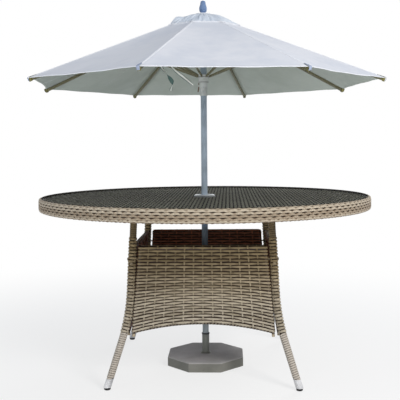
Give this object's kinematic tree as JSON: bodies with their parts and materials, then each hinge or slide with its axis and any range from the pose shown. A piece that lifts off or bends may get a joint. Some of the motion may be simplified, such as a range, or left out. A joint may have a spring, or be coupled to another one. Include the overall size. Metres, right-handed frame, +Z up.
{
  "type": "umbrella table",
  "caption": "Round woven garden table with a smoked glass top and a skirt of woven panels, and a folding parasol that stands in a stone base and passes through the table's middle.",
  "frame": {"origin": "on the floor, on the axis of the parasol's pole", "axes": "+Z up along the pole, -Y towards the front, +X to the right as seen from the front"},
  "size_m": [1.4928, 1.4928, 1.585],
  "materials": {
    "cane": "woven",
    "deck_cane": "woven",
    "glass": "smoked",
    "clear_rubber": "clear",
    "frame_paint": "satin",
    "eyelet_metal": "satin",
    "bolt_steel": "brushed",
    "ferrule": "brushed",
    "black_plastic": "matte",
    "base_stone": "smooth",
    "base_rubber": "matte",
    "stem_steel": "satin",
    "pole": "satin",
    "hub_plastic": "satin",
    "catch_brown": "satin",
    "finial_chrome": "polished",
    "rib_paint": "satin",
    "canopy": "woven",
    "tie": "woven"
  },
  "bodies": {
    "table": {"top_hoop": "frame_paint", "rim_weave": "cane", "deck_weave": "deck_cane", "glass_top": "glass", "glass_pads": "clear_rubber", "deck_rails": "frame_paint", "frame_plates": "frame_paint", "eyelet": "eyelet_metal", "eyelet_nut": "black_plastic", "frame_bolts": "bolt_steel", "leg_ferrules": "ferrule", "foot_glides": "black_plastic", "skirt_frames": "frame_paint", "base_weight": "base_stone", "base_pads": "base_rubber", "base_stem": "stem_steel", "stem_bush": "black_plastic", "skirt_weave_front": "cane", "skirt_weave_right": "cane", "skirt_weave_back": "cane", "skirt_weave_left": "cane", "leg_front_left": "cane", "leg_front_right": "cane", "leg_back_left": "cane", "leg_back_right": "cane"},
    "clamp_screw": {"clamp_screw": "black_plastic"},
    "lower_mast": {"lower_pole": "pole", "pole_joiner": "bolt_steel"},
    "upper_mast": {"upper_pole": "pole", "crown": "hub_plastic", "crown_pins": "bolt_steel", "finial": "finial_chrome", "vent_cap": "canopy"},
    "runner": {"runner": "hub_plastic"},
    "catch": {"runner_catch": "catch_brown"},
    "rib_1": {"rib_1": "rib_paint", "gore_1": "canopy"},
    "strut_1": {"strut_1": "rib_paint"},
    "rib_2": {"rib_2": "rib_paint", "gore_2": "canopy"},
    "strut_2": {"strut_2": "rib_paint"},
    "rib_3": {"rib_3": "rib_paint", "gore_3": "canopy"},
    "strut_3": {"strut_3": "rib_paint"},
    "rib_4": {"rib_4": "rib_paint", "gore_4": "canopy"},
    "strut_4": {"strut_4": "rib_paint"},
    "rib_5": {"rib_5": "rib_paint", "gore_5": "canopy"},
    "strut_5": {"strut_5": "rib_paint"},
    "rib_6": {"rib_6": "rib_paint", "gore_6": "canopy", "canopy_ties": "tie"},
    "strut_6": {"strut_6": "rib_paint"},
    "rib_7": {"rib_7": "rib_paint", "gore_7": "canopy"},
    "strut_7": {"strut_7": "rib_paint"},
    "rib_8": {"rib_8": "rib_paint", "gore_8": "canopy"},
    "strut_8": {"strut_8": "rib_paint"}
  },
  "joints": [
    {"name": "mast_lift", "type": "slide", "parent": "table", "child": "lower_mast", "axis": [0, 0, 1], "range_m": [0, 0.66]},
    {"name": "mast_turn", "type": "hinge", "parent": "lower_mast", "child": "upper_mast", "pos_m": [0, 0, 0.6], "axis": [0, 0, 1], "continuous": true},
    {"name": "canopy_fold", "type": "slide", "parent": "upper_mast", "child": "runner", "axis": [0, 0, 1], "range_m": [-0.39816, 0], "deforming": ["vent_cap"]},
    {"name": "catch_press", "type": "hinge", "parent": "runner", "child": "catch", "pos_m": [-0.02031, -0.00278, 1.215], "axis": [0.1357, -0.9907, 0], "range_deg": [0, 10], "stiffness_Nm_per_rad": 0.05},
    {"name": "screw_turn", "type": "hinge", "parent": "table", "child": "clamp_screw", "pos_m": [0, 0.03, 0.08], "axis": [0, 1, 0], "range_deg": [-360, 0]},
    {"name": "rib_1_swing", "type": "hinge", "parent": "upper_mast", "child": "rib_1", "pos_m": [0.01899, 0.0111, 1.51428], "axis": [-0.5045, 0.8634, 0], "range_deg": [0, 45.3], "deforming": ["gore_1"]},
    {"name": "rib_2_swing", "type": "hinge", "parent": "upper_mast", "child": "rib_2", "pos_m": [0.00558, 0.02128, 1.51428], "axis": [-0.9673, 0.2538, 0], "range_deg": [0, 45.3], "deforming": ["gore_2"]},
    {"name": "rib_3_swing", "type": "hinge", "parent": "upper_mast", "child": "rib_3", "pos_m": [-0.0111, 0.01899, 1.51428], "axis": [-0.8634, -0.5045, 0], "range_deg": [0, 45.3], "deforming": ["gore_3"]},
    {"name": "rib_4_swing", "type": "hinge", "parent": "upper_mast", "child": "rib_4", "pos_m": [-0.02128, 0.00558, 1.51428], "axis": [-0.2538, -0.9673, 0], "range_deg": [0, 45.3], "deforming": ["gore_4"]},
    {"name": "rib_5_swing", "type": "hinge", "parent": "upper_mast", "child": "rib_5", "pos_m": [-0.01899, -0.0111, 1.51428], "axis": [0.5045, -0.8634, 0], "range_deg": [0, 45.3], "deforming": ["gore_5"]},
    {"name": "rib_6_swing", "type": "hinge", "parent": "upper_mast", "child": "rib_6", "pos_m": [-0.00558, -0.02128, 1.51428], "axis": [0.9673, -0.2538, 0], "range_deg": [0, 45.3], "deforming": ["gore_6", "canopy_ties"]},
    {"name": "rib_7_swing", "type": "hinge", "parent": "upper_mast", "child": "rib_7", "pos_m": [0.0111, -0.01899, 1.51428], "axis": [0.8634, 0.5045, 0], "range_deg": [0, 45.3], "deforming": ["gore_7"]},
    {"name": "rib_8_swing", "type": "hinge", "parent": "upper_mast", "child": "rib_8", "pos_m": [0.02128, -0.00558, 1.51428], "axis": [0.2538, 0.9673, 0], "range_deg": [0, 45.3], "deforming": ["gore_8"]},
    {"name": "strut_1_swing", "type": "hinge", "parent": "rib_1", "child": "strut_1", "pos_m": [0.30759, 0.17974, 1.38059], "axis": [0.5045, -0.8634, 0], "range_deg": [0, 92.2]},
    {"name": "strut_2_swing", "type": "hinge", "parent": "rib_2", "child": "strut_2", "pos_m": [0.0904, 0.34459, 1.38059], "axis": [0.9673, -0.2538, 0], "range_deg": [0, 92.2]},
    {"name": "strut_3_swing", "type": "hinge", "parent": "rib_3", "child": "strut_3", "pos_m": [-0.17974, 0.30759, 1.38059], "axis": [0.8634, 0.5045, 0], "range_deg": [0, 92.2]},
    {"name": "strut_4_swing", "type": "hinge", "parent": "rib_4", "child": "strut_4", "pos_m": [-0.34459, 0.0904, 1.38059], "axis": [0.2538, 0.9673, 0], "range_deg": [0, 92.2]},
    {"name": "strut_5_swing", "type": "hinge", "parent": "rib_5", "child": "strut_5", "pos_m": [-0.30759, -0.17974, 1.38059], "axis": [-0.5045, 0.8634, 0], "range_deg": [0, 92.2]},
    {"name": "strut_6_swing", "type": "hinge", "parent": "rib_6", "child": "strut_6", "pos_m": [-0.0904, -0.34459, 1.38059], "axis": [-0.9673, 0.2538, 0], "range_deg": [0, 92.2]},
    {"name": "strut_7_swing", "type": "hinge", "parent": "rib_7", "child": "strut_7", "pos_m": [0.17974, -0.30759, 1.38059], "axis": [-0.8634, -0.5045, 0], "range_deg": [0, 92.2]},
    {"name": "strut_8_swing", "type": "hinge", "parent": "rib_8", "child": "strut_8", "pos_m": [0.34459, -0.0904, 1.38059], "axis": [-0.2538, -0.9673, 0], "range_deg": [0, 92.2]}
  ],
  "couplings": [
    {"joint": "rib_1_swing", "follows": "canopy_fold", "rad_per_m": -1.9813},
    {"joint": "rib_2_swing", "follows": "canopy_fold", "rad_per_m": -1.9813},
    {"joint": "rib_3_swing", "follows": "canopy_fold", "rad_per_m": -1.9813},
    {"joint": "rib_4_swing", "follows": "canopy_fold", "rad_per_m": -1.9813},
    {"joint": "rib_5_swing", "follows": "canopy_fold", "rad_per_m": -1.9813},
    {"joint": "rib_6_swing", "follows": "canopy_fold", "rad_per_m": -1.9813},
    {"joint": "rib_7_swing", "follows": "canopy_fold", "rad_per_m": -1.9813},
    {"joint": "rib_8_swing", "follows": "canopy_fold", "rad_per_m": -1.9813},
    {"joint": "strut_1_swing", "follows": "canopy_fold", "rad_per_m": -4.0357},
    {"joint": "strut_2_swing", "follows": "canopy_fold", "rad_per_m": -4.0357},
    {"joint": "strut_3_swing", "follows": "canopy_fold", "rad_per_m": -4.0357},
    {"joint": "strut_4_swing", "follows": "canopy_fold", "rad_per_m": -4.0357},
    {"joint": "strut_5_swing", "follows": "canopy_fold", "rad_per_m": -4.0357},
    {"joint": "strut_6_swing", "follows": "canopy_fold", "rad_per_m": -4.0357},
    {"joint": "strut_7_swing", "follows": "canopy_fold", "rad_per_m": -4.0357},
    {"joint": "strut_8_swing", "follows": "canopy_fold", "rad_per_m": -4.0357}
  ]
}
